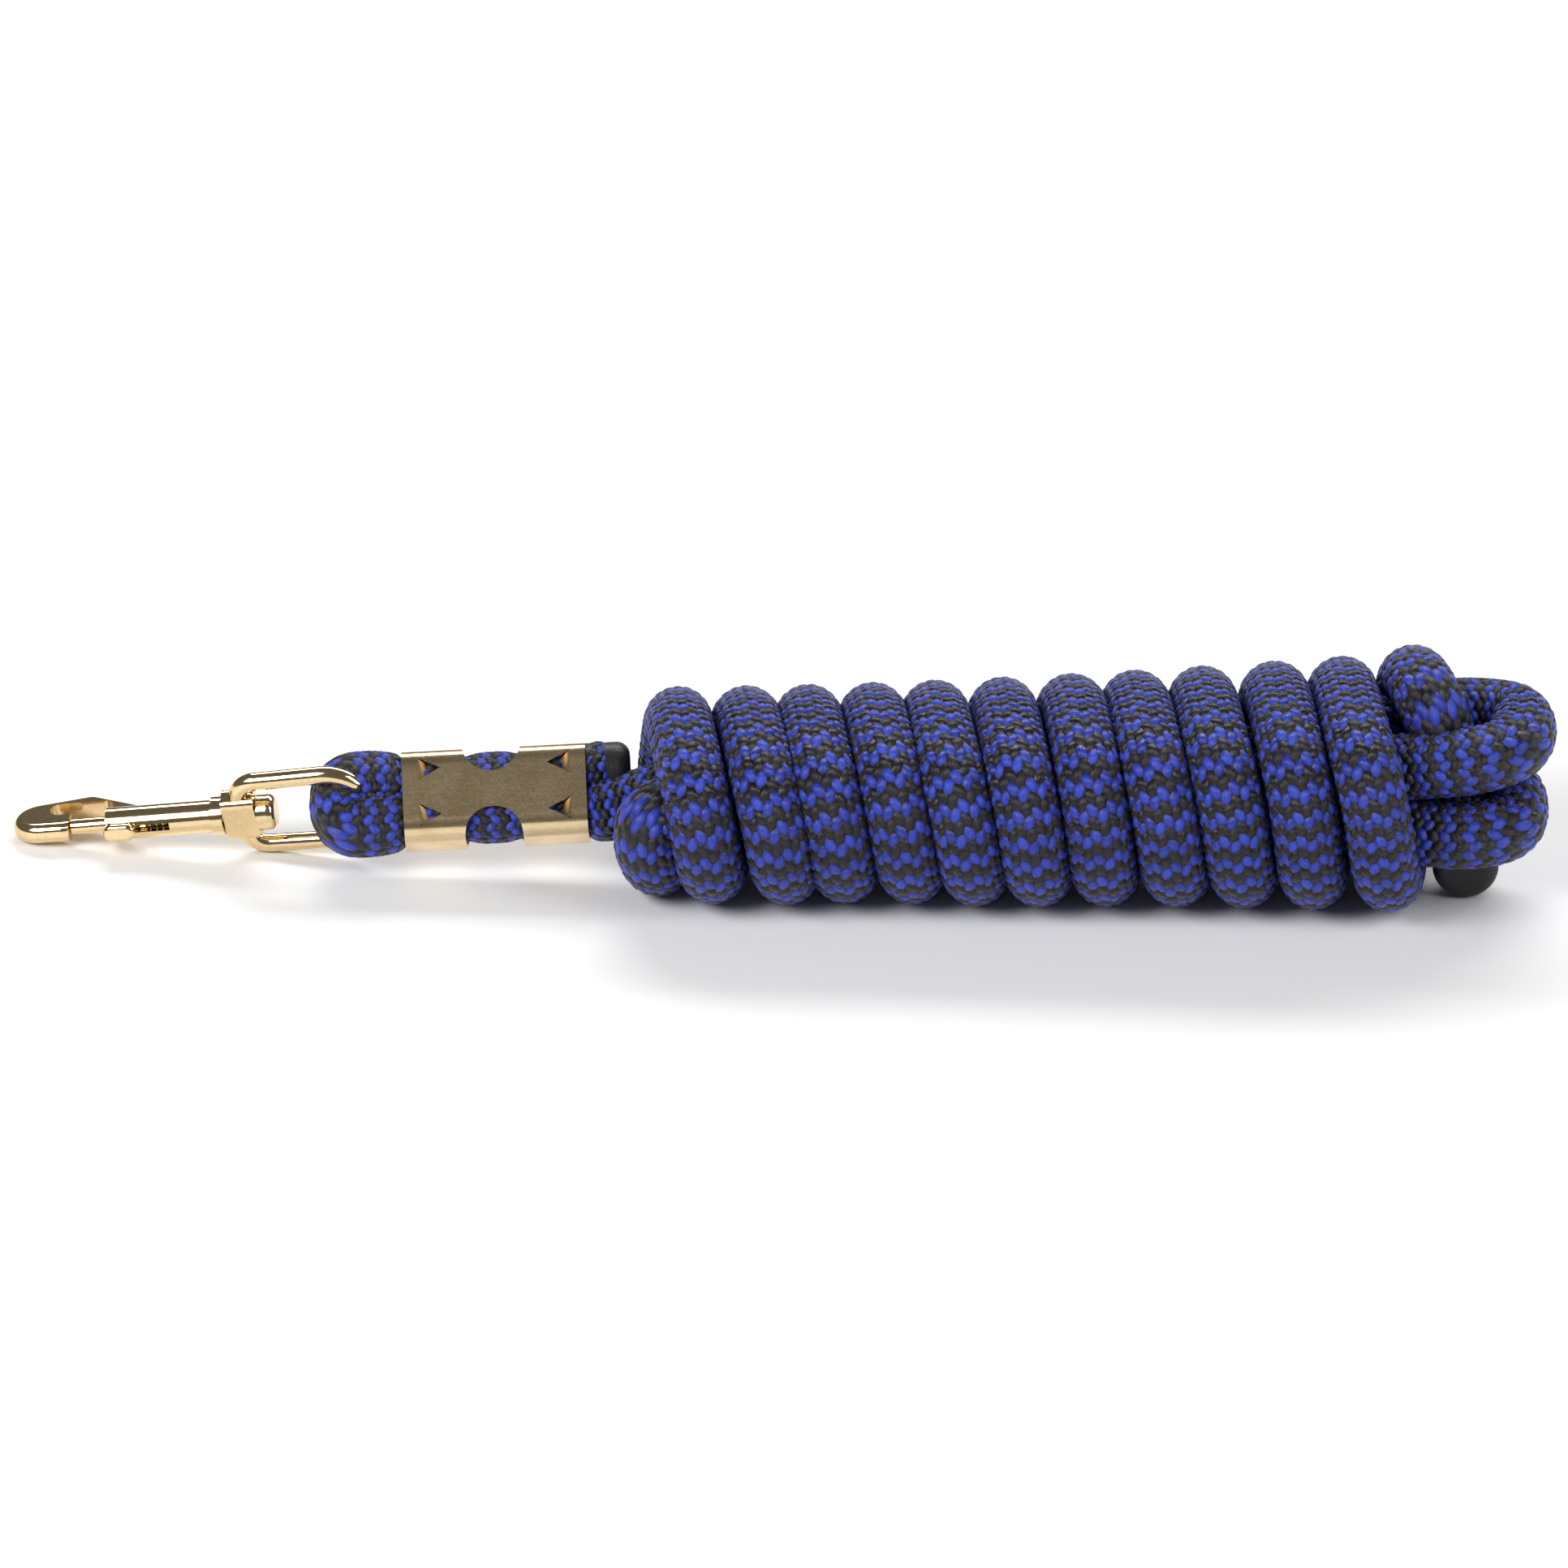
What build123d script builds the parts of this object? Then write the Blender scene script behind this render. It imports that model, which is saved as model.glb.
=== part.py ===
from build123d import *
from math import cos, pi, radians, sin, tan
import os

# A braided lead rope put away as a hank. One end is doubled round the swivel eye of a brass
# bolt snap and held by a punched brass clamp. The rest is folded into a core and wrapped
# twelve times. Millimetres, +Z up, +X from the snap to the hank, floor at Z = 0. The origin
# is the middle of the flat underside of the sixth wrap.

# --- driving dimensions ------------------------------------------------------------------
rope_d = 18.0
rope_r = rope_d / 2
wraps = 12
full_wraps = 11
wrap_pitch = 18.24
middle_wrap = 6
wrap_bend_r = rope_d  # centreline radius of a wrap round a core strand
core_width_left = 7.0  # half sizes of the core between the middles of its strands
core_width_gain = 1.0
core_height_left = 0.2
core_height_gain = 5.6
core_height_power = 1.6
rest_flat = 0.7  # how far the wraps are pressed flat where they rest

clamp_centre = Vector(-146.6, 11.4, 20.28)
clamp_pitch = 3.3  # degrees that the clamp rises towards the hank
clamp_roll = 45.0  # degrees that its punched face leans back from vertical
clamp_length = 50.0
clamp_height = 26.0
clamp_depth = 17.4
clamp_corner_r = 5.5
sheet = 1.2
notch_r = 7.9
notch_x = -0.6
tooth_base = 6.4
tooth_length = 6.2
tooth_x = 17.6
tooth_y = 6.6
seam_gap = 0.6

eye_reach = 35.1  # from the clamp's middle to the middle of the rope's eye
eye_bend_r = 5.7
spool_r = 3.1  # the room for the swivel eye's bar: a spool round its rocking axis
spool_half = 3.0
spool_throat = 8.2
spool_flange = 9.2
spool_out = 25.0
spool_end = 16.0

snap_pitch = 9.15  # the snap falls from the rope's eye to the floor
snap_yaw = -8.5
bow_roll = 107.8  # degrees from the hook's plane to the bow's plane
bow_bar_r = 2.5
bow_half = 12.4  # centreline of each arm from the swivel axis
bow_end_r = 10.5
bow_shoulder = -33.2
shoulder_half = 11.6  # the arms close in a little towards the block
shoulder_r = 6.0
bow_root = -36.0
root_half = 4.2
block_left = -39.5
block_right = -30.5
block_height = 14.5
block_depth = 7.4
block_corner_r = 2.4

barrel_r = 4.5
barrel_mouth = -72.4
collar_left = -43.0
collar_right = -39.8
collar_r = 5.3
bore_r = 2.3
bore_end = -48.0
hook_thick = 5.6
hook_round = 2.3
hook_corners = [((-91.5, 3.2), 7.8), ((-79.0, 9.6), 4.3), ((-61.0, 1.2), 3.0), ((-85.0, -2.0), 2.7)]
hole_left = -89.4
hole_right = -71.4
hole_width = 6.8
hole_y = 5.7
nose_face = -83.0
bolt_r = 2.22
bolt_gap = 0.1
bolt_tail = -61.5
bolt_travel = 9.6
stud_left = -72.8
stud_right = -64.0
stud_width = 5.0
stud_height = 2.6
stud_lift = 0.15  # gap between the stud and the barrel
stud_corner_r = 2.3
stud_round = 1.2
neck_left = -68.3
neck_right = -64.4
neck_half = 1.0
slot_clear = 0.12
weld = 0.1  # how far joined pieces of one solid run into each other

rivet_r = 2.3
rivet_clear = 0.06
rivet_head_r = 4.9
rivet_head = 5.0
rivet_dome = 2.2
rivet_slack = 0.25  # between the rivet head and the eye's block
spring_wire_r = 0.3
spring_r = 1.75
spring_turns = 7

end_reach = 14.5
end_cap_round = 3.5
strand_offset = 6.0  # each strand from the clamp's middle line
tail_seal_length = 12.0
tail_round = 3.6
tail_r = 7.8  # squeezed beside the lead

# --- frames ------------------------------------------------------------------------------
def aimed(origin, yaw, pitch):
    """A frame whose X axis points at a compass angle and a climb, in degrees, with Y level."""
    turn, climb = radians(yaw), radians(pitch)
    return Plane(origin=origin, x_dir=(cos(climb) * cos(turn), cos(climb) * sin(turn), sin(climb)),
                 z_dir=(-sin(climb) * cos(turn), -sin(climb) * sin(turn), cos(climb)))


def rolled(frame, roll):
    """A frame turned about its own X axis, in degrees."""
    turn = radians(roll)
    z_dir = frame.z_dir * cos(turn) - frame.y_dir * sin(turn)
    return Plane(origin=frame.origin, x_dir=frame.x_dir, z_dir=z_dir)


def across(frame, x):
    """The plane square to a frame's X axis, at x along it."""
    place = frame.from_local_coords(Vector(x, 0, 0))
    return Plane(origin=place, x_dir=frame.y_dir, z_dir=frame.x_dir)


# The clamp's frame has X along the rope, Y from the lower to the upper strand, and Z out of
# the punched face. The snap's frame has X along the barrel towards the rope, and its hook
# lies in XY. The bow of the swivel eye lies in its own XY plane on the same axis.
clamp_frame = rolled(aimed(clamp_centre, 0, clamp_pitch), clamp_roll)
eye_centre = clamp_frame.from_local_coords(Vector(-eye_reach, 0, 0))
snap_frame = aimed(eye_centre, snap_yaw, snap_pitch)
bow_frame = rolled(snap_frame, bow_roll)


def finish(block, label):
    """Name a finished piece and write its file."""
    block.part.label = label
    export_step(block.part, f"parts/{label}.step")
    print(f"{label:16s} {block.part.volume:10.1f} mm3")


def corner_radii(points):
    """The largest arc that fits each corner of a rope's route."""
    radii = []
    for before, here, after in zip(points, points[1:], points[2:]):
        run_in = Vector(*here) - Vector(*before)
        run_out = Vector(*after) - Vector(*here)
        half_turn = radians(run_in.get_angle(run_out)) / 2
        radii.append(0.45 * min(run_in.length, run_out.length) / tan(half_turn))
    return radii


os.makedirs("parts", exist_ok=True)

# --- bolt snap: hook and barrel ----------------------------------------------------------
with BuildPart() as hook_body:
    # The hook is a flat teardrop with a long hole. Its nose faces the barrel across the mouth.
    with BuildSketch(snap_frame.offset(-hook_thick / 2)):
        for centre, radius in hook_corners:
            with Locations(centre):
                Circle(radius)
        make_hull()
    extrude(amount=hook_thick)
    fillet(hook_body.faces().filter_by(snap_frame).edges(), radius=hook_round)
    with BuildSketch(snap_frame.offset(-hook_thick)):
        with Locations(((hole_left + hole_right) / 2, hole_y)):
            SlotOverall(hole_right - hole_left, hole_width)
        with Locations((nose_face, hole_y)):
            Rectangle(barrel_mouth - nose_face, 4 * barrel_r, align=(Align.MIN, Align.MAX))
    extrude(amount=2 * hook_thick, mode=Mode.SUBTRACT)
    with BuildSketch(across(snap_frame, barrel_mouth)):
        Circle(barrel_r)
    extrude(amount=collar_left - barrel_mouth)
    with BuildSketch(across(snap_frame, collar_left)):
        Circle(collar_r)
    extrude(amount=collar_right - collar_left)
    with BuildSketch(across(snap_frame, barrel_mouth - 1)):
        Circle(bore_r)
    extrude(amount=bore_end - barrel_mouth + 1, mode=Mode.SUBTRACT)
    with BuildSketch(across(snap_frame, bore_end - 1)):
        Circle(rivet_r)
    extrude(amount=collar_right - bore_end + 2, mode=Mode.SUBTRACT)
    # The thumb stud's slot runs along the front of the barrel.
    with BuildSketch(snap_frame.offset(-neck_half - slot_clear)):
        slot_left = neck_left - slot_clear
        slot_right = neck_right + bolt_travel + slot_clear
        with Locations(((slot_left + slot_right) / 2, -barrel_r)):
            Rectangle(slot_right - slot_left, 2 * barrel_r)
    extrude(amount=2 * (neck_half + slot_clear), mode=Mode.SUBTRACT)
finish(hook_body, "hook_body")

# --- bolt, thumb stud and spring ---------------------------------------------------------
with BuildPart() as bolt:
    with BuildSketch(across(snap_frame, nose_face + bolt_gap)):
        Circle(bolt_r)
    extrude(amount=bolt_tail - nose_face - bolt_gap)
    chamfer(bolt.edges().filter_by(GeomType.CIRCLE), length=0.3)
finish(bolt, "bolt")

with BuildPart() as thumb_stud:
    # The grip is a rounded lug proud of the barrel, on a neck that goes through the slot.
    with BuildSketch(Plane(origin=snap_frame.from_local_coords(Vector(0, -barrel_r - stud_lift, 0)),
                           x_dir=snap_frame.x_dir, z_dir=-snap_frame.y_dir)):
        with Locations(((stud_left + stud_right) / 2, 0)):
            RectangleRounded(stud_right - stud_left, stud_width, stud_corner_r)
    extrude(amount=stud_height)
    thumb_face = thumb_stud.faces().sort_by(Axis(snap_frame.origin, -snap_frame.y_dir))[-1]
    fillet(thumb_face.edges(), radius=stud_round)
    with BuildSketch(snap_frame.offset(-neck_half)):
        with Locations((neck_left, -barrel_r - stud_lift - weld)):
            Rectangle(neck_right - neck_left, barrel_r, align=Align.MIN)
    extrude(amount=2 * neck_half)
finish(thumb_stud, "thumb_stud")

spring_length = bore_end - bolt_tail - 3 * spring_wire_r
spring_start = across(snap_frame, bolt_tail + 1.5 * spring_wire_r)
with BuildPart() as bolt_spring:
    with BuildLine():
        coil = Helix(pitch=spring_length / spring_turns, height=spring_length, radius=spring_r,
                     center=spring_start.origin, direction=spring_start.z_dir)
    with BuildSketch(Plane(origin=coil @ 0, z_dir=coil % 0)):
        Circle(spring_wire_r)
    sweep(path=coil, is_frenet=True)
finish(bolt_spring, "bolt_spring")

# --- swivel: rivet and eye ---------------------------------------------------------------
with BuildPart() as swivel_rivet:
    with BuildSketch(across(snap_frame, bore_end)):
        Circle(rivet_r)
    extrude(amount=block_right - bore_end + rivet_slack + weld)
    with BuildSketch(across(snap_frame, block_right + rivet_slack)):
        Circle(rivet_head_r)
    extrude(amount=rivet_head)
    rings = swivel_rivet.edges().filter_by(GeomType.CIRCLE)
    fillet(rings.sort_by(Axis(snap_frame.origin, snap_frame.x_dir))[-1], radius=rivet_dome)
finish(swivel_rivet, "swivel_rivet")

with BuildPart() as swivel_eye:
    with BuildLine(bow_frame):
        bow_path = FilletPolyline(
            (bow_root, root_half), (bow_shoulder, shoulder_half), (0, bow_half), (0, -bow_half),
            (bow_shoulder, -shoulder_half), (bow_root, -root_half),
            radius=(shoulder_r, bow_end_r, bow_end_r, shoulder_r))
    with BuildSketch(Plane(origin=bow_path @ 0, z_dir=bow_path % 0)):
        Circle(bow_bar_r)
    sweep(path=bow_path)
    with BuildSketch(across(bow_frame, block_left)):
        RectangleRounded(block_height, block_depth, block_corner_r)
    extrude(amount=block_right - block_left)
    with BuildSketch(across(bow_frame, block_left - 1)):
        Circle(rivet_r + rivet_clear)
    extrude(amount=block_right - block_left + 2, mode=Mode.SUBTRACT)
finish(swivel_eye, "swivel_eye")

# --- clamp -------------------------------------------------------------------------------
clamp_left = -clamp_length / 2
with BuildPart() as rope_clamp:
    with BuildSketch(across(clamp_frame, clamp_left)):
        RectangleRounded(clamp_height, clamp_depth, clamp_corner_r)
        RectangleRounded(clamp_height - 2 * sheet, clamp_depth - 2 * sheet, clamp_corner_r - sheet,
                         mode=Mode.SUBTRACT)
    extrude(amount=clamp_length)
    with BuildSketch(clamp_frame.offset(-clamp_depth)):
        with Locations((notch_x, clamp_height / 2), (notch_x, -clamp_height / 2)):
            Circle(notch_r)
    extrude(amount=2 * clamp_depth, mode=Mode.SUBTRACT)
    # Eight triangular openings, four in front and four behind, point to the middle. Their
    # teeth were pushed in from the outer edges.
    for side in (1, -1):
        with BuildSketch(clamp_frame.offset(side * (clamp_depth - sheet) / 2 - sheet)):
            for end in (1, -1):
                for row in (1, -1):
                    base_x, tip_x = end * (tooth_x + tooth_length / 2), end * (tooth_x - tooth_length / 2)
                    y = row * tooth_y
                    with BuildLine():
                        Polyline((base_x, y - tooth_base / 2), (base_x, y + tooth_base / 2), (tip_x, y),
                                 close=True)
                    make_face()
        extrude(amount=2 * sheet, mode=Mode.SUBTRACT)
    # The sheet's two edges meet behind in a narrow seam.
    with BuildSketch(clamp_frame.offset(-clamp_depth / 2 - sheet)):
        Rectangle(clamp_length + 2, seam_gap)
    extrude(amount=3 * sheet, mode=Mode.SUBTRACT)
finish(rope_clamp, "rope_clamp")

# --- rope through the clamp and round the swivel eye --------------------------------------
core_height = clamp_height - 2 * sheet
core_depth = clamp_depth - 2 * sheet
eye_frame = Plane(origin=eye_centre, x_dir=clamp_frame.x_dir, z_dir=clamp_frame.z_dir)
bend_axis = Axis(eye_centre, clamp_frame.z_dir)
swivel_axis = Axis(eye_centre, bow_frame.y_dir)
with BuildPart() as rope_eye:
    # Two strands leave the clamp and join in one tight bend, whose inside is closed.
    with BuildSketch(across(eye_frame, 0)):
        with Locations((eye_bend_r, 0), (-eye_bend_r, 0)):
            Circle(rope_r)
    extrude(amount=eye_reach - clamp_length / 2)
    with BuildSketch(Plane(origin=eye_centre, x_dir=clamp_frame.y_dir, z_dir=clamp_frame.x_dir)):
        with Locations((eye_bend_r, 0)):
            Circle(rope_r)
        with Locations((-rope_r, 0)):
            Rectangle(2 * rope_r, 4 * rope_r, mode=Mode.SUBTRACT)
    revolve(axis=bend_axis, revolution_arc=180)
    with BuildSketch(across(clamp_frame, clamp_left)):
        RectangleRounded(core_height, core_depth, clamp_corner_r - sheet)
    extrude(amount=clamp_length)
    # Room for the swivel eye's bar, which rocks about its own line.
    with BuildSketch(Plane(origin=eye_centre, x_dir=bow_frame.x_dir, z_dir=bow_frame.z_dir)):
        with BuildLine():
            Polyline((0, -spool_end), (spool_out, -spool_end), (spool_out, -spool_flange),
                     (spool_throat, -spool_flange), (spool_r, -spool_half), (spool_r, spool_half),
                     (spool_throat, spool_flange), (spool_out, spool_flange), (spool_out, spool_end),
                     (0, spool_end), close=True)
        make_face()
    revolve(axis=swivel_axis, revolution_arc=360, mode=Mode.SUBTRACT)
finish(rope_eye, "rope_eye")

# --- cut end of the doubled part ---------------------------------------------------------
tail_start = clamp_frame.from_local_coords(Vector(clamp_length / 2, strand_offset, 0))
tail_way = Vector(12, 0.4, 0.5).normalized()
with BuildPart() as tail_end_seal:
    with BuildSketch(Plane(origin=tail_start, z_dir=tail_way)):
        Circle(tail_r)
    extrude(amount=tail_seal_length)
    fillet(tail_end_seal.faces().sort_by(Axis.X)[-1].edges(), radius=tail_round)
    # It starts square against the clamp's end.
    split(bisect_by=across(clamp_frame, clamp_length / 2), keep=Keep.TOP)
finish(tail_end_seal, "tail_end_seal")

# --- lead from the clamp to the hank -----------------------------------------------------
lead_start = clamp_frame.from_local_coords(Vector(clamp_length / 2, -strand_offset, 0))
lead_points = [tuple(lead_start), (-112.0, 7.4, 19.3), (-103.5, 7.3, 22.4), (-95.5, 7.0, 25.0)]
lead_radii = corner_radii(lead_points)
with BuildPart() as rope_lead:
    with BuildLine():
        lead_path = FilletPolyline(*lead_points, radius=lead_radii)
    with BuildSketch(Plane(origin=lead_path @ 0, z_dir=lead_path % 0)):
        Circle(rope_r)
    sweep(path=lead_path)
    split(bisect_by=across(clamp_frame, clamp_length / 2), keep=Keep.TOP)
print("lead radii", [round(r, 1) for r in lead_radii])
print("lead volume", round(rope_lead.part.volume), "section x length", round(pi * rope_r**2 * lead_path.length))
finish(rope_lead, "rope_lead")


# --- hank --------------------------------------------------------------------------------
def wrap_x(number):
    """Where a wrap crosses the front of the hank."""
    return (number - middle_wrap) * wrap_pitch


def filled(x):
    """How far along the hank a place is, from 0 at the first wrap to 1 at the last."""
    return min(max((x - wrap_x(1)) / (wrap_x(wraps) - wrap_x(1)), 0), 1)


def core_half_width(x):
    """The core fills out a little towards the folded end."""
    return core_width_left + core_width_gain * filled(x)


def core_half_height(x):
    """Two strands deep at the left, four at the right."""
    return core_height_left + core_height_gain * filled(x) ** core_height_power


# The folds of the core stand out of the hank's right end. The first turn leaves the core and
# goes down the front. The last turn goes over the back and down between the folds' legs.
upper_fold = [(98, 9, 47), (113, 10.5, 47.4), (126.5, 9.5, 47.3), (132.6, 4.0, 46.6), (132.6, -7.5, 45.0),
              (126.5, -13.6, 43.9), (113, -14.2, 43.4), (98, -12, 42.0)]
lower_fold = [(98, 8, 27.5), (112, 9.0, 27.0), (124.5, 8.6, 26.2), (130.6, 3.0, 24.8), (130.6, -9.5, 23.0),
              (124.5, -15.6, 22.6), (112, -16.2, 22.4), (98, -13, 23.5)]
first_turn = [(-88, -9, 28.5), (-105.5, -24.0, 28.5), (-105.5, -24.0, 9.2), (-90, -4, 9.2)]
last_turn = [(97.5, 25, 22), (99.5, 26, 44), (102, 13, 56.5), (107, -3, 56), (112, -3.5, 42), (116.5, 2, 30),
             (117, 3, 18.6)]
fold_r = 9.2  # the tightest bend of a rope round nothing, with its inside closed

with BuildPart() as rope_hank:
    # Each wrap is a closed ring of rope round its own slice of the core.
    for number in range(1, full_wraps + 1):
        x = wrap_x(number)
        half_width = core_half_width(x) + wrap_bend_r
        half_height = core_half_height(x) + wrap_bend_r
        bottom = rope_r - rest_flat
        top = bottom + 2 * half_height
        with BuildSketch(Plane.YZ.offset(x - wrap_pitch / 2)):
            with Locations((0, bottom + half_height)):
                RectangleRounded(2 * half_width, 2 * half_height, wrap_bend_r)
        extrude(amount=wrap_pitch)
        with BuildLine(Plane.YZ.offset(x)):
            ring = FilletPolyline((half_width, bottom), (half_width, top), (-half_width, top),
                                  (-half_width, bottom), radius=wrap_bend_r, close=True)
        with BuildSketch(Plane(origin=ring @ 0, z_dir=ring % 0)):
            Circle(rope_r)
        sweep(path=ring)
    for points in (upper_fold, lower_fold, first_turn, last_turn):
        radii = [max(radius, fold_r) for radius in corner_radii(points)]
        print("radii", [round(r, 1) for r in radii])
        with BuildLine():
            route = FilletPolyline(*points, radius=radii)
        with BuildSketch(Plane(origin=route @ 0, z_dir=route % 0)):
            Circle(rope_r)
        sweep(path=route)
    split(bisect_by=Plane.XY, keep=Keep.TOP)
finish(rope_hank, "rope_hank")

# --- sealed rope end ---------------------------------------------------------------------
# The last stretch is dipped black. It bends forwards under the lower fold.
end_corner = Vector(*last_turn[-1]) - Vector(0, 0, fold_r + weld)
end_tip = end_corner - Vector(0, end_reach, 0)
with BuildPart() as rope_end_cap:
    with BuildLine():
        end_path = FilletPolyline(last_turn[-1], end_corner, end_tip, radius=fold_r)
    with BuildSketch(Plane(origin=end_path @ 0, z_dir=end_path % 0)):
        Circle(rope_r)
    sweep(path=end_path)
    fillet(rope_end_cap.faces().sort_by(Axis.Y)[0].edges(), radius=end_cap_round)
finish(rope_end_cap, "rope_end_cap")
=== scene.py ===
# %% [markdown]
# # A braided lead rope with a brass bolt snap
# The imported model gives the frame: every metal piece, and plain solids where the rope lies.
# This lesson makes the rope itself, one long braided cord that goes round the snap's eye,
# through the clamp, into the core of the hank and twelve times round it.
# All lengths are metres, and tables in millimetres are multiplied by MM. The floor is Z = 0 and
# X runs from the snap to the hank.

# %% Load the frame and set the unit
import math

import bpy
import numpy as np
from mathutils import Matrix


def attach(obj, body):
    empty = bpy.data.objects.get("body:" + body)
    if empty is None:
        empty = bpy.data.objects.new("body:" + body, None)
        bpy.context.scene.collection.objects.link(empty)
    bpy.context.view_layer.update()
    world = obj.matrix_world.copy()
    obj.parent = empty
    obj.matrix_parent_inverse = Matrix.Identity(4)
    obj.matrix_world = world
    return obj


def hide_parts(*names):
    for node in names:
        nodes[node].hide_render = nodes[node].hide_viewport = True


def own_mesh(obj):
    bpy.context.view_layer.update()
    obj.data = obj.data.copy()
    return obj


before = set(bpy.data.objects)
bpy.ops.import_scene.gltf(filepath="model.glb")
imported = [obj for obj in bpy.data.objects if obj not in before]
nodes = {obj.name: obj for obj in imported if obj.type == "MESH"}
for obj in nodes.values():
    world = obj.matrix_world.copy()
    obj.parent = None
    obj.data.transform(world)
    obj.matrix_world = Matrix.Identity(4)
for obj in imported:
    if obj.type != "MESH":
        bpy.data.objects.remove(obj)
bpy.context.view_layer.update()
MM = 0.001

# %% [markdown]
# ## Shader maths as Python
# A procedural finish is a chain of small sums. Written as nodes they are hard to read, so a
# wrapper round a socket turns `1 - mask * 0.5` into Math nodes. Colours go through Mix nodes.


# %% A socket that does sums
class Val:
    """A shader socket with arithmetic: each sum adds one Math node to its tree."""

    def __init__(self, tree, socket):
        self.tree, self.socket = tree, socket

    def make(self, kind, settings=None, **inputs):
        """Add any node: settings are set first, then values or links of the named sockets."""
        node = self.tree.nodes.new(kind)
        for key, value in (settings or {}).items():
            setattr(node, key, value)
        for key, value in inputs.items():
            numbered = key[0] == "i" and key[1:].isdigit()
            place = node.inputs[int(key[1:]) if numbered else key]
            if isinstance(value, Val):
                self.tree.links.new(value.socket, place)
            else:
                place.default_value = value
        return node

    def maths(self, operation, *values):
        """Add a Math node of any operation, fed with the values in order."""
        inputs = {f"i{i}": value for i, value in enumerate(values)}
        node = self.make("ShaderNodeMath", {"operation": operation}, **inputs)
        return Val(self.tree, node.outputs[0])

    def __add__(self, other):
        return self.maths("ADD", self, other)

    def __sub__(self, other):
        return self.maths("SUBTRACT", self, other)

    def __rsub__(self, other):
        return self.maths("SUBTRACT", other, self)

    def __mul__(self, other):
        return self.maths("MULTIPLY", self, other)

    __radd__ = __add__
    __rmul__ = __mul__

    def floor(self):
        return self.maths("FLOOR", self)

    def odd(self):
        """0 or 1 for an even or odd whole number."""
        return self.maths("FLOORED_MODULO", self, 2.0)

    def power(self, exponent):
        return self.maths("POWER", self, exponent)

    def band(self, low, high):
        """0 below low, 1 above high, straight between."""
        node = self.make("ShaderNodeMapRange", {"clamp": True}, i0=self, i1=low, i2=high, i3=0.0, i4=1.0)
        return Val(self.tree, node.outputs[0])

    def mix(self, low, high):
        """A colour from low to high."""
        node = self.make("ShaderNodeMix", {"data_type": "RGBA"}, Factor=self)
        for place, colour in ((node.inputs[6], low), (node.inputs[7], high)):
            if isinstance(colour, Val):
                self.tree.links.new(colour.socket, place)
            else:
                place.default_value = (*colour, 1.0)
        return Val(self.tree, node.outputs[2])


def new_material(name, **constants):
    """A Principled material with constants on its own sockets. Returns it, its shader and a start value."""
    material = bpy.data.materials.new(name)
    material.use_nodes = True
    shader = material.node_tree.nodes["Principled BSDF"]
    for key, value in constants.items():
        shader.inputs[key.replace("_", " ")].default_value = value
    return material, shader, Val(material.node_tree, None)


def feed(shader, tool, bump=None, bump_size=0.0002, strength=0.5, **links):
    """Link varying values to the shader's sockets, and a height to its normal."""
    for key, value in links.items():
        tool.tree.links.new(value.socket, shader.inputs[key.replace("_", " ")])
    if bump is not None:
        node = tool.make("ShaderNodeBump", None, Strength=strength, Distance=bump_size, Height=bump)
        tool.tree.links.new(node.outputs[0], shader.inputs["Normal"])


def noise(tool, vector, scale, detail=3.0, roughness=0.5):
    """A smooth random field from 0 to 1."""
    node = tool.make("ShaderNodeTexNoise", None, Vector=vector, Scale=scale, Detail=detail,
                     Roughness=roughness)
    return Val(tool.tree, node.outputs[0])


def object_place(tool):
    """The piece's own coordinates."""
    return Val(tool.tree, tool.tree.nodes.new("ShaderNodeTexCoord").outputs["Object"])


def stretched(tool, vector, size):
    """The same pattern drawn out: each axis is scaled by its own factor."""
    node = tool.make("ShaderNodeMapping", None, Vector=vector, Scale=size)
    return Val(tool.tree, node.outputs[0])


# %% [markdown]
# ## The rope's facts
# The rope is 18 mm thick. Its braid shows 20 columns of short floats. Each is 2.75 mm long on a
# straight rope, and half as long again on the outside of a turn.
# Every second column is half a float further on and leans the other way, so the floats lock
# like bricks. Blue and black follow each other down a column, which makes zigzag bands.

# %% Rope and braid sizes
ROPE_D = 18 * MM
BODY_R = 8.72 * MM  # to the foot of the floats
FLOAT_RISE = 0.55 * MM
COLUMNS = 20
FLOAT_LENGTH = 2.75 * MM
LEAN = 0.26
FINE_STEP = 0.6 * MM
COARSE_STEP = 3.0 * MM
WRAP_PITCH = 18.24 * MM
MIDDLE_WRAP = 6
LAST_WRAP = 12
BEND_R = ROPE_D
POINTS_PER_TURN = 16
FIRST_TURN, LAST_TURN = 0.05, 11.5  # where the worked-out turns start and stop, counted in turns
WRAP_PIECES = 5
REST_HEIGHT = 8.4 * MM  # of the rope's centre: it is pressed a little flat where it rests
BACK_HALF_WIDTH = 7.0  # of the core behind its middle, in millimetres at the first wrap
CORE_HALF_LOW, CORE_HALF_RISE, CORE_RISE_POWER = 0.2, 5.6, 1.6  # the core's half height, growing rightwards
SQUARENESS = 2.5  # how quickly a turn goes from one side of the core to the other
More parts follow.
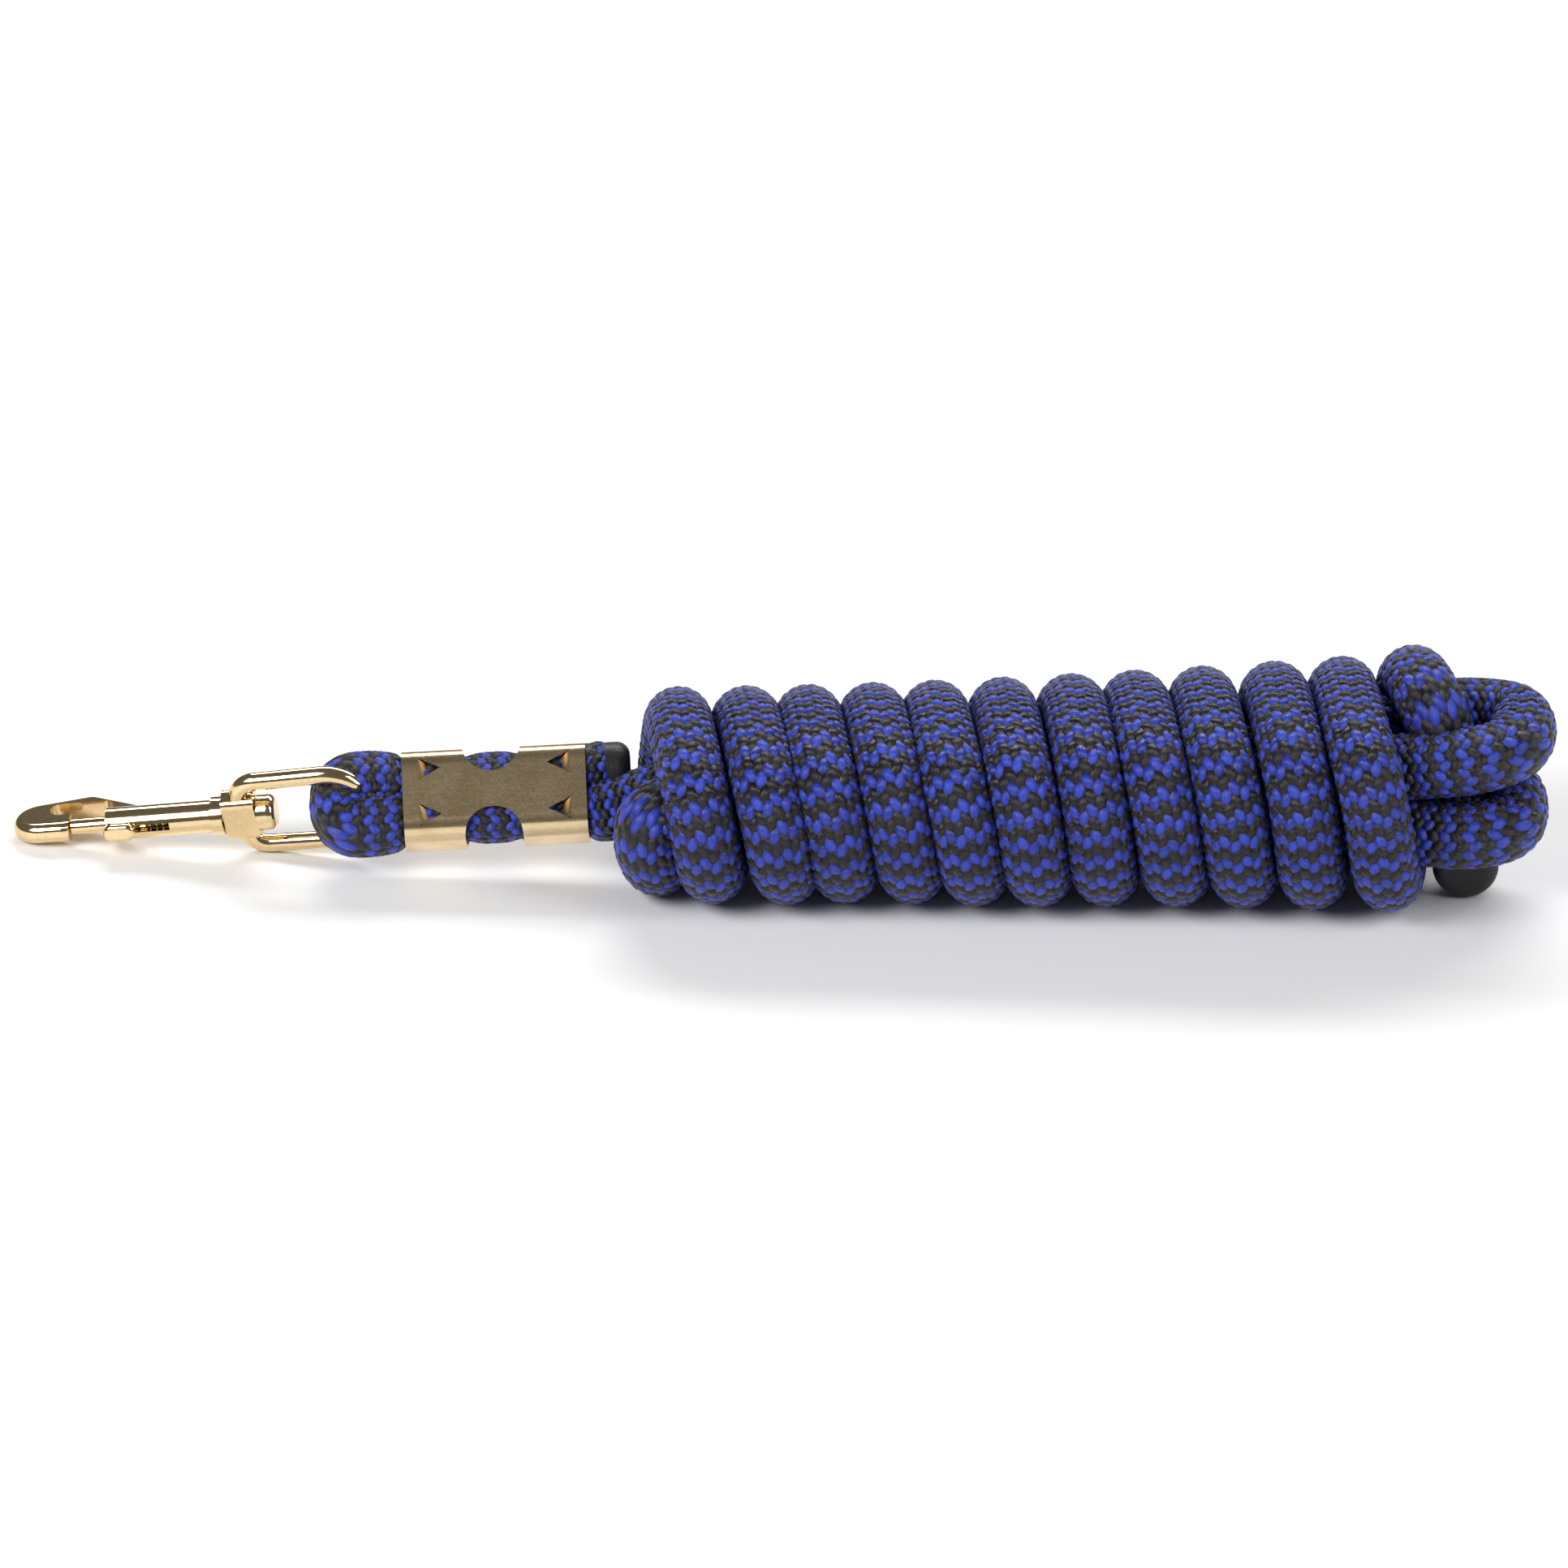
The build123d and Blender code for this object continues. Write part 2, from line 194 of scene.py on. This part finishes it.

# %% [markdown]
# ## The route
# The rope lies on one smooth NURBS line. Outside the hank its points are listed. The
# turns are worked out: each is a round-cornered rectangle round the core, one rope's width
# further on every turn, so it is a helix.

# %% Route points, listed in the clamp's frame and in the row's
CLAMP_AT = np.array([-146.6, 11.4, 20.28]) * MM
CLAMP_CLIMB = math.radians(3.3)
CLAMP_ROLL = math.radians(45)
along = np.array([math.cos(CLAMP_CLIMB), 0, math.sin(CLAMP_CLIMB)])
level_up = np.array([-math.sin(CLAMP_CLIMB), 0, math.cos(CLAMP_CLIMB)])
side_up = math.cos(CLAMP_ROLL) * np.array([0, 1, 0]) + math.sin(CLAMP_ROLL) * level_up
face_out = math.cos(CLAMP_ROLL) * level_up - math.sin(CLAMP_ROLL) * np.array([0, 1, 0])


def in_clamp(x, y, z=0.0):
    """A place from millimetres in the clamp's frame: x along, y across the strands, z out of its face."""
    return CLAMP_AT + MM * (x * along + y * side_up + z * face_out)


eye_points = [in_clamp(*p) for p in (
    (31, 6.3), (12, 5.9), (-10, 5.7), (-25, 5.8), (-34, 6.3), (-41.8, 5.4),
    (-41.8, -5.4), (-34, -6.3), (-25, -5.8), (-10, -5.7), (10, -5.7), (25, -6))]
lead_points = MM * np.array([(-112, 7.4, 19.3), (-103.5, 7.3, 22.4), (-95.5, 7, 25)])
core_out = MM * np.array([
    (-70, 7, 26.8), (-10, 7.6, 29.3), (30, 7.8, 31.7), (70, 8.2, 34.5), (88, 8.6, 38.5)])
upper_fold = MM * np.array([
    (98, 9, 44), (113, 10.5, 47.4), (126.5, 9.5, 47.3), (132.4, 5.5, 47.4),
    (132.4, -8.6, 47.2), (125, -13.8, 45.6), (113, -14.4, 43.6), (98, -11, 41)])
core_back = MM * np.array([
    (86, -8.5, 38), (70, -8, 34.5), (40, -7.8, 32), (22, -7.4, 31), (10, -3, 29.6),
    (10, 4, 27.4), (22, 7.4, 26.3), (40, 7.8, 26.3), (70, 8, 26.3), (88, 8, 26.8)])
lower_fold = MM * np.array([
    (98, 8, 27), (112, 9.0, 26.6), (124.5, 8.6, 26.2), (130.4, 4.5, 25.2),
    (130.4, -10.8, 23.6), (123.5, -15.6, 22.8), (112, -16.2, 22.4), (98, -12.5, 23.4)])
core_return = MM * np.array([
    (84, -8.5, 25.2), (40, -7.9, 26.3), (0, -7.6, 26.3), (-40, -7.2, 26.4),
    (-75, -7.2, 26.8), (-88, -9, 28.0)])
first_turn = MM * np.array([(-97, -12.5, 29.6), (-105.0, -16.8, 29.0)])
last_turn = MM * np.array([
    (101.2, 25.6, 44), (102.6, 14, 57.5), (107.5, -4.5, 57.0), (112, -4.5, 42),
    (116.5, 2, 30), (117, 3, 18.0)])

# %% [markdown]
# ## The turns
# A hank wound by hand isn't even. Three short tables say where each turn crosses the top, where
# it goes under, and how far the core holds it forwards. A formula does the rest.

# %% The turns, by formula
top_x = MM * np.array([-116, -96, -76.6, -60.5, -42.6, -26, -7.4, 11.7, 28.9, 46.8, 66.7, 85])
bottom_x = MM * np.array([-101.3, -86.3, -66.2, -50.1, -32, -14.6, 2.4, 20.3, 40, 58.3, 77, 97.7])
forwards = MM * np.array([-0.5, 5.5, 6.4, 5.2, 5.4, 6.9, 8.0, 7.4, 7.9, 8.6, 9.6, 11.6])
FRONT_LEAN = 0.64  # a turn has made this much of its way down the front when it is half way down


def filled(x):
    """How far along the hank a place is, from 0 at the first wrap to 1 at the last."""
    first, last = (1 - MIDDLE_WRAP) * WRAP_PITCH, (LAST_WRAP - MIDDLE_WRAP) * WRAP_PITCH
    return np.clip((x - first) / (last - first), 0, 1)


def wrap_points(turns):
    """Points of the helix: turn 1 passes the front at the first wrap, going down."""
    angle = 2 * np.pi * turns
    number = np.arange(len(top_x))
    front_x = top_x + FRONT_LEAN * (bottom_x - top_x)
    known = np.concatenate([number - 0.25, number, number + 0.25])
    order = np.argsort(known)
    x = np.interp(turns, known[order], np.concatenate([top_x, front_x, bottom_x])[order])
    held = np.interp(turns, number, forwards)
    half_height = (CORE_HALF_LOW + CORE_HALF_RISE * filled(x) ** CORE_RISE_POWER) * MM
    reach = BEND_R / math.cos(math.pi / POINTS_PER_TURN)
    side, rise = np.cos(angle), np.sin(angle)
    half_width = np.where(side > 0, held, (BACK_HALF_WIDTH + filled(x)) * MM)
    y = -(half_width * np.tanh(SQUARENESS * side) + reach * side)
    middle = REST_HEIGHT + BEND_R + half_height
    z = middle - (half_height * np.tanh(SQUARENESS * rise) + reach * rise)
    return np.stack([x, y, z], 1)


turns = np.arange(FIRST_TURN, LAST_TURN, 1 / POINTS_PER_TURN)
wraps = wrap_points(turns)
print("turn points", len(wraps))

# %% [markdown]
# ## One line
# The parts follow each other in the order in which the rope was laid: from the eye to the core,
# out and back through two folds, then the turns and the end. Blender makes the curve, and its
# points are read back as the rope's centre line.

# %% One spline through all of them
route_parts = [eye_points, lead_points, core_out, upper_fold, core_back, lower_fold, core_return,
               first_turn, wraps, last_turn]
route_points = np.concatenate([np.asarray(p) for p in route_parts])
curve = bpy.data.curves.new("rope_route", "CURVE")
curve.dimensions = "3D"
curve.resolution_u = 8
spline = curve.splines.new("NURBS")
spline.points.add(len(route_points) - 1)
spline.points.foreach_set("co", np.c_[route_points, np.ones(len(route_points))].ravel())
spline.order_u = 3
spline.use_endpoint_u = True
route_object = bpy.data.objects.new("rope_route", curve)
line_mesh = bpy.data.meshes.new_from_object(route_object)
line = np.empty(len(line_mesh.vertices) * 3)
line_mesh.vertices.foreach_get("co", line)
line = line.reshape(-1, 3)
bpy.data.objects.remove(route_object)
bpy.data.curves.remove(curve)
bpy.data.meshes.remove(line_mesh)
gap = np.linalg.norm(np.diff(line, axis=0), axis=1)
line = line[np.r_[True, gap > 1e-7]]
line_length = np.r_[0, np.cumsum(np.linalg.norm(np.diff(line, axis=0), axis=1))]
print("rope length", round(line_length[-1], 3), "m")


def place_on_route(point):
    """The length along the rope of the place nearest to a point."""
    return line_length[np.argmin(np.linalg.norm(line - np.asarray(point), axis=1))]


def nearest_after(point, start):
    """The same, but only beyond a given length."""
    away = np.linalg.norm(line - np.asarray(point), axis=1)
    away[line_length <= start] = 1
    return line_length[np.argmin(away)]


# %% [markdown]
# ## A frame that doesn't spin
# A tube needs a sideways direction at every step. Taking it from the curve's bending makes it
# flip on straight runs, so each step carries the last one on and only turns it with the line.

# %% Even steps, tangents and carried normals
STEP = 0.25 * MM
SMOOTHING = 8  # steps each way that are averaged
even = np.arange(0, line_length[-1], STEP)
track = np.stack([np.interp(even, line_length, line[:, i]) for i in range(3)], 1)
kernel = np.hanning(2 * SMOOTHING + 1)
kernel /= kernel.sum()
before = 2 * track[0] - track[SMOOTHING:0:-1]
beyond_end = 2 * track[-1] - track[-2:-2 - SMOOTHING:-1]
padded_track = np.concatenate([before, track, beyond_end])
track = np.stack([np.convolve(padded_track[:, i], kernel, "valid") for i in range(3)], 1)
tangent = np.gradient(track, STEP, axis=0)
tangent /= np.linalg.norm(tangent, axis=1)[:, None]
bend = np.gradient(tangent, STEP, axis=0)
normal = np.zeros_like(track)
normal[0] = face_out
for i in range(1, len(track)):
    carried = normal[i - 1] - tangent[i] * (normal[i - 1] @ tangent[i])
    normal[i] = carried / np.linalg.norm(carried)
binormal = np.cross(tangent, normal)


# %% [markdown]
# ## The braid as real relief
# Each float is a small pillow. Its height is worked out from where a point lies in its column
# and along its float, so the relief is in the mesh and catches the light, and the same two
# numbers are kept as the piece's UV map for the colours.

# %% Braided tube between two lengths
ACROSS_WEIGHT, ALONG_WEIGHT = 3.0, 4.0  # how quickly a float falls away from its middle
CLAMP_HALF = 25.5  # millimetres, as the next five are
NOTCH_AT, NOTCH_HALF = -0.6, 6.0  # the clamp's open middle, where the strands are free to swell
SQUEEZE_EDGE, SQUEEZE_REACH = 0.5, 7.0
SQUEEZE_Y, SQUEEZE_Z, NOTCH_RELIEF, SQUEEZE_NEAR = 0.215, 0.19, 0.075, 0.1  # shares of the distance
CREASE = 0.93  # share of the bend's radius that the inner side may fill
END_DRAW = 0.2  # share by which the radius draws in at a cut end


def pillow(column, floats):
    """Height 0 to 1 of the braid: how near a place is to the middle of the nearest float."""
    nearest = 9.0
    for kind, lean in ((0, LEAN), (1, -LEAN)):
        across = column - 0.5 - kind
        across = across - 2 * np.round(across / 2)
        run = floats - 0.5 * kind + lean * across
        away = ACROSS_WEIGHT * across**2 + ALONG_WEIGHT * (run - np.round(run)) ** 2
        nearest = np.minimum(nearest, away)
    return np.sqrt(np.clip(1 - nearest, 0, 1))


def squeeze_in_clamp(points):
    """Inside the clamp the two strands are pressed to its bore, and they swell again outside it."""
    local = (points - CLAMP_AT) @ np.stack([along, side_up, face_out], 1) / MM
    x, y, z = local.T
    beyond = np.abs(x) - CLAMP_HALF
    inside = 1 / (1 + np.exp(beyond / SQUEEZE_EDGE))
    near = (1 - inside) * np.exp(-np.maximum(beyond, 0) / SQUEEZE_REACH)
    notch = np.exp(-(((x - NOTCH_AT) / NOTCH_HALF) ** 4))
    y = y * (1 - inside * (SQUEEZE_Y - NOTCH_RELIEF * notch) - SQUEEZE_NEAR * near)
    z = z * (1 - inside * SQUEEZE_Z - SQUEEZE_NEAR * near)
    return CLAMP_AT + MM * (x[:, None] * along + y[:, None] * side_up + z[:, None] * face_out)


def braided_tube(name, start, end, fine=True):
    """A tube of rings square to the route, its radius the body plus the braid's height at each point."""
    step, per_column = (FINE_STEP, 5) if fine else (COARSE_STEP, 2)
    count = max(int(round((end - start) / step)), 4) + 1
    at = np.clip(np.round(np.linspace(start, end, count) / STEP).astype(int), 0, len(track) - 1)
    around = COLUMNS * per_column
    column = np.arange(around) / per_column
    run = even[at] / FLOAT_LENGTH
    height = pillow(column[None, :], run[:, None])
    to_cut_end = np.minimum(even[at], even[-1] - even[at])
    radius = (BODY_R + FLOAT_RISE * height) * (1 - END_DRAW * np.exp(-to_cut_end / MM))[:, None]
    angle = 2 * np.pi * column / COLUMNS
    sideways = np.cos(angle)[None, :, None] * normal[at][:, None]
    upwards = np.sin(angle)[None, :, None] * binormal[at][:, None]
    offset = (sideways + upwards) * radius[..., None]
    # On the inside of a tight bend the rope folds into a crease instead of passing through itself.
    inward = np.einsum("rac,rc->ra", offset, bend[at])
    bend_squared = np.maximum(np.sum(bend[at] ** 2, axis=1), 1e-9)
    spare = np.maximum(inward - CREASE, 0) / bend_squared[:, None]
    offset = offset - spare[..., None] * bend[at][:, None]
    points = (track[at][:, None] + offset).reshape(-1, 3)
    points = squeeze_in_clamp(points)
    points[:, 2] = np.maximum(points[:, 2], 0.0)
    ring = np.arange(count - 1)[:, None] * around
    here = np.arange(around)[None, :]
    after = (here + 1) % around
    quads = np.stack([ring + here, ring + after, ring + around + after, ring + around + here], -1)
    quads = quads.reshape(-1, 4)
    ends = [list(range(around))[::-1], [(count - 1) * around + i for i in range(around)]]
    mesh = bpy.data.meshes.new(name)
    mesh.from_pydata(points, [], quads.tolist() + ends)
    uv = mesh.uv_layers.new(name="braid")
    left, low = np.broadcast_arrays(here, ring // around)
    corner_u = np.stack([left, left + 1, left + 1, left], -1) / per_column
    corner_v = run[np.stack([low, low, low + 1, low + 1], -1)]
    table = np.stack([corner_u, corner_v], -1).reshape(-1, 2)
    table = np.concatenate([table, np.zeros((2 * around, 2))])
    uv.uv.foreach_set("vector", table.ravel().astype(np.float32))
    mesh.shade_smooth()
    mesh.validate()
    piece = bpy.data.objects.new(name, mesh)
    bpy.context.scene.collection.objects.link(piece)
    print(name, round(end - start, 3), "m", len(quads), "faces")
    return piece, track[at]


# %% [markdown]
# ## The rope's finish
# The yarn is shiny filament, and fine fibres run along each float. Its colour holds painted light: each
# float is painted brightest on its crown, a painted highlight, and nearly black where it dives under its
# neighbour, a painted shade, and the fibres are streaks of colour that are partly painted glints. The
# shader finds the nearest float from the UV map as the mesh did, and its number gives the colour and a
# small chance change.

# %% Braid material
braid, braid_shader, tool = new_material(
    "braided_filament", Sheen_Weight=0.1, Sheen_Roughness=0.4, IOR=1.47)
uv_node = tool.make("ShaderNodeUVMap", {"uv_map": "braid"})
uv_vector = Val(tool.tree, uv_node.outputs[0])
split = tool.make("ShaderNodeSeparateXYZ", None, Vector=uv_vector)
u, v = Val(tool.tree, split.outputs[0]), Val(tool.tree, split.outputs[1])
candidates = []
for kind, lean in ((0.0, LEAN), (1.0, -LEAN)):
    pair = (u - (0.5 + kind)) * 0.5
    pair_number = (pair + 0.5).floor()
    across = (pair - pair_number) * 2.0
    run = v - 0.5 * kind + across * lean
    run_number = (run + 0.5).floor()
    along_run = run - run_number
    distance = across * across * ACROSS_WEIGHT + along_run * along_run * ALONG_WEIGHT
    candidates.append((distance, run_number, pair_number * 2.0 + kind))
(first_away, *first), (second_away, *second) = candidates
second_nearer = first_away.maths("GREATER_THAN", first_away, second_away)
run_number, tile_column = (a + second_nearer * (b - a) for a, b in zip(first, second))
crown = 1.0 - first_away.maths("MINIMUM", first_away, second_away)
tile = tool.make("ShaderNodeCombineXYZ", None, X=run_number, Y=tile_column)
tile_spot = Val(tool.tree, tile.outputs[0])
dice = tool.make("ShaderNodeTexWhiteNoise", {"noise_dimensions": "2D"}, Vector=tile_spot)
chance = Val(tool.tree, dice.outputs[0])
# Fibre streaks: a bump along each float, and in the colour partly a painted glint.
fibre_and_painted_glint = noise(tool, stretched(tool, uv_vector, (12.0, 1.1, 1.0)), 1.0, 3.0).band(0.3, 0.7)
# Painted highlight on each float's crown and painted shade where it dives under, times fibre streaks that
# are partly painted glints, times a real random tone per float.
painted_shading_and_tone = crown.band(-0.3, 0.7).power(0.7) * (0.4 + fibre_and_painted_glint * 0.6) * (0.7 + chance * 0.6)
# Each yarn colour runs from a painted-shade end, nearly black, to a painted-highlight end.
blue = painted_shading_and_tone.mix((0.002, 0.003, 0.045), (0.034, 0.066, 0.58))
black = painted_shading_and_tone.mix((0.002, 0.0018, 0.004), (0.013, 0.0095, 0.011))
feed(braid_shader, tool, bump=crown.band(-0.3, 1.0).power(0.7) + fibre_and_painted_glint * 0.15,
     bump_size=0.0009, strength=0.8, Base_Color=run_number.odd().mix(blue, black),
     Roughness=0.26 + chance * 0.2)

# %% [markdown]
# ## Laying the rope
# The rope is made in lengths that join end to end, so no mesh grows too large. The lengths
# inside the hank are hidden, so they are coarser. Together they stand for the plain solids of the frame.

# %% Make each length
lead_end = place_on_route(lead_points[-1])
SHORT_WAY, LONG_WAY = 30 * MM, 50 * MM  # a fold and a core strand are at least this long
FOLD_MARGIN = 5 * MM
upper_in = nearest_after(core_out[-1], lead_end)
upper_out = nearest_after(core_back[0], upper_in + SHORT_WAY)
lower_in = nearest_after(core_back[-1], upper_out + LONG_WAY) - FOLD_MARGIN
lower_out = nearest_after(core_return[0], lower_in + SHORT_WAY) + FOLD_MARGIN
turn_start = nearest_after(core_return[-2], lower_out + LONG_WAY)
stretches = [
    ("rope_eye_and_lead", 0.0, lead_end, True), ("rope_core_out", lead_end, upper_in, False),
    ("rope_upper_fold", upper_in, upper_out, True), ("rope_core_back", upper_out, lower_in, False),
    ("rope_lower_fold", lower_in, lower_out, True), ("rope_core_return", lower_out, turn_start, False)]
cuts = np.linspace(turn_start, even[-1], WRAP_PIECES + 1)
stretches += [(f"rope_wraps_{i + 1}", cuts[i], cuts[i + 1], True) for i in range(WRAP_PIECES)]
for name, start, end, fine in stretches:
    piece, path = braided_tube(name, start, end, fine)
    piece.data.materials.append(braid)
    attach(piece, "rope")
    float(end - start)
    "taut" if name == "rope_eye_and_lead" else "coiled"
    if name == "rope_eye_and_lead":
        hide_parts("rope_eye", "rope_lead")
    if name == "rope_wraps_1":
        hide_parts("rope_hank")

# %% [markdown]
# ## Brass
# The snap is cast and plated: smooth, with a very slight ripple. The clamp is rolled sheet:
# duller, speckled and scratched along its length. Metal shows its surroundings, so most of the
# look is in the lights, and the finish only bends them a little.

# %% Cast and sheet brass, steel and the sealed ends
cast, cast_shader, tool = new_material("cast_brass_plate", Metallic=1.0, IOR=1.5)
place = object_place(tool)
ripple = noise(tool, place, 260.0, 2.0)
stain = noise(tool, place, 900.0, 3.0)
feed(cast_shader, tool, bump=ripple, bump_size=0.00012, strength=0.12,
     Base_Color=stain.band(0.3, 0.75).mix((0.80, 0.60, 0.33), (0.88, 0.69, 0.41)),
     Roughness=0.05 + stain * 0.1)

sheet_brass, sheet_shader, tool = new_material("rolled_brass_sheet", Metallic=1.0, IOR=1.5)
place = object_place(tool)
scratch = noise(tool, stretched(tool, place, (60.0, 2600.0, 2600.0)), 1.0, 3.0, 0.7)
speck = noise(tool, place, 1500.0, 2.0)
mottle = noise(tool, place, 110.0, 3.0)
feed(sheet_shader, tool, bump=scratch * 0.6 + speck * 0.4, bump_size=0.0001, strength=0.25,
     Base_Color=(mottle * 0.6 + speck * 0.4).band(0.35, 0.65).mix((0.70, 0.52, 0.29), (0.86, 0.68, 0.43)),
     Roughness=0.13 + scratch * 0.1 + speck * 0.08)

steel, steel_shader, tool = new_material("spring_steel", Metallic=1.0)
grain = noise(tool, object_place(tool), 1800.0)
feed(steel_shader, tool, bump=grain, bump_size=0.00003, strength=0.2,
     Base_Color=grain.mix((0.42, 0.42, 0.44), (0.6, 0.6, 0.62)), Roughness=0.25 + grain * 0.15)

sealed, sealed_shader, tool = new_material("melted_black_end", IOR=1.45)
place = object_place(tool)
lumps = noise(tool, place, 240.0, 3.0)
skin = noise(tool, place, 1400.0, 2.0)
feed(sealed_shader, tool, bump=lumps * 0.7 + skin * 0.3, bump_size=0.0006, strength=0.5,
     Base_Color=lumps.mix((0.006, 0.006, 0.007), (0.022, 0.021, 0.023)), Roughness=0.32 + skin * 0.3)

for node, finish in (("hook_body", cast), ("bolt", cast), ("thumb_stud", cast), ("swivel_rivet", cast),
                     ("swivel_eye", cast), ("rope_clamp", sheet_brass), ("bolt_spring", steel),
                     ("tail_end_seal", sealed), ("rope_end_cap", sealed)):
    mesh = nodes[node].data
    mesh.materials.clear()
    mesh.materials.append(finish)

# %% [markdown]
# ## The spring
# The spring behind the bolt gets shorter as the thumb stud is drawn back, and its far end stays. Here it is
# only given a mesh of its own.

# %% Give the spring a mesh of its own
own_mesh(nodes["bolt_spring"])

# %% [markdown]
# ## The clamp's teeth
# The frame's clamp has eight openings. Their metal is still there: each is a triangle of the
# sheet, folded in from its outer edge until its tip bites the rope.

# %% Eight folded triangles
TOOTH_X, TOOTH_Y, TOOTH_BASE, TOOTH_LENGTH = 17.6, 6.6, 6.4, 6.2  # millimetres in the clamp's frame
TOOTH_FOLD = math.radians(38)
TOOTH_FIT = 0.94  # the triangle is a little smaller than its opening
FACE_Z, TOOTH_TOP, TOOTH_UNDER = 8.7, 0.05, 1.1  # the clamp's face, and the tooth's two sides below it
TOOTH_FACES = ((0, 1, 2), (5, 4, 3), (0, 3, 4, 1), (1, 4, 5, 2), (2, 5, 3, 0))
teeth_points, teeth_faces = [], []
for side in (1, -1):
    for end in (1, -1):
        for row in (1, -1):
            base_x = end * (TOOTH_X + TOOTH_LENGTH / 2)
            tip_x = base_x - end * TOOTH_LENGTH * math.cos(TOOTH_FOLD)
            drop = TOOTH_LENGTH * math.sin(TOOTH_FOLD)
            first = len(teeth_points)
            corners = ((base_x, TOOTH_BASE / 2, 0), (base_x, -TOOTH_BASE / 2, 0), (tip_x, 0, drop))
            for depth in (TOOTH_TOP, TOOTH_UNDER):
                for x, y, low in corners:
                    across = row * TOOTH_Y + y * TOOTH_FIT
                    teeth_points.append(in_clamp(x, across, side * (FACE_Z - depth - low)))
            for face in TOOTH_FACES:
                turn = [first + i for i in face]
                teeth_faces.append(turn if side * end > 0 else turn[::-1])
teeth_mesh = bpy.data.meshes.new("clamp_teeth")
teeth_mesh.from_pydata(teeth_points, [], teeth_faces)
teeth_mesh.materials.append(sheet_brass)
teeth = bpy.data.objects.new("clamp_teeth", teeth_mesh)
bpy.context.scene.collection.objects.link(teeth)
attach(teeth, "rope")

# %% [markdown]
# ## Floor
# A plain pale floor, which isn't part of the model.

# %% Floor
floor_mesh = bpy.data.meshes.new("floor")
FLOOR_HALF = 3.0
floor_corners = [(x * FLOOR_HALF, y * FLOOR_HALF, 0) for x, y in ((-1, -1), (1, -1), (1, 1), (-1, 1))]
floor_mesh.from_pydata(floor_corners, [], [(0, 1, 2, 3)])
floor = bpy.data.objects.new("floor", floor_mesh)
bpy.context.scene.collection.objects.link(floor)
floor_finish, floor_shader, tool = new_material("pale_floor", Roughness=0.55)
floor_shader.inputs["Base Color"].default_value = (0.93, 0.93, 0.93, 1)
floor_mesh.materials.append(floor_finish)


# %% [markdown]
# ## Lights
# Brass shows what is round it. A key and a fill box stand at the two sides and a long, low one
# behind, so the metal gets bright edges and a darker front.

# %% Three softboxes and a dim world
def softbox(name, at, target, size, power):
    """A rectangular light that faces a point."""
    data = bpy.data.lights.new(name, "AREA")
    data.shape = "RECTANGLE"
    data.size, data.size_y = size
    data.energy = power
    lamp = bpy.data.objects.new(name, data)
    bpy.context.scene.collection.objects.link(lamp)
    aim(lamp, at, target)


def aim(thing, at, target):
    """Put a lamp or camera at a place, looking at a target, with its top upwards."""
    back = np.asarray(at, float) - np.asarray(target, float)
    back /= np.linalg.norm(back)
    right = np.cross((0, 0, 1), back)
    right /= np.linalg.norm(right)
    up = np.cross(back, right)
    rows = [[*turned, moved] for turned, moved in zip(np.stack([right, up, back], 1), at)]
    thing.matrix_world = Matrix(rows + [[0, 0, 0, 1]])


LIT_PLACE = (-0.068, 0.0, 0.03)
softbox("key", (-1.0, -0.75, 0.95), LIT_PLACE, (0.8, 0.7), 18)
softbox("fill", (1.0, -0.6, 0.8), LIT_PLACE, (0.5, 0.9), 9)
softbox("back", (0.1, 0.95, 0.9), LIT_PLACE, (1.5, 0.35), 13)
world = bpy.data.worlds.new("studio")
bpy.context.scene.world = world
world.use_nodes = True
world.node_tree.nodes["Background"].inputs["Color"].default_value = (1.0, 0.97, 0.94, 1)
world.node_tree.nodes["Background"].inputs["Strength"].default_value = 0.13

# %% [markdown]
# ## Camera
# A very long lens far away, a little above the rope, so nearer turns look no larger than others.

# %% Camera
CAMERA_RISE = math.radians(27)
CAMERA_AWAY = 8.52
camera_data = bpy.data.cameras.new("camera")
camera_data.lens = 720
camera_data.sensor_width = 36
camera_data.clip_end = 20
camera = bpy.data.objects.new("camera", camera_data)
bpy.context.scene.collection.objects.link(camera)
look_at = np.array([-68.2, 0.0, 30.2]) * MM
towards_camera = np.array([0, -math.cos(CAMERA_RISE), math.sin(CAMERA_RISE)])
aim(camera, look_at + CAMERA_AWAY * towards_camera, look_at)
bpy.context.scene.camera = camera
bpy.context.scene.view_settings.view_transform = "Standard"
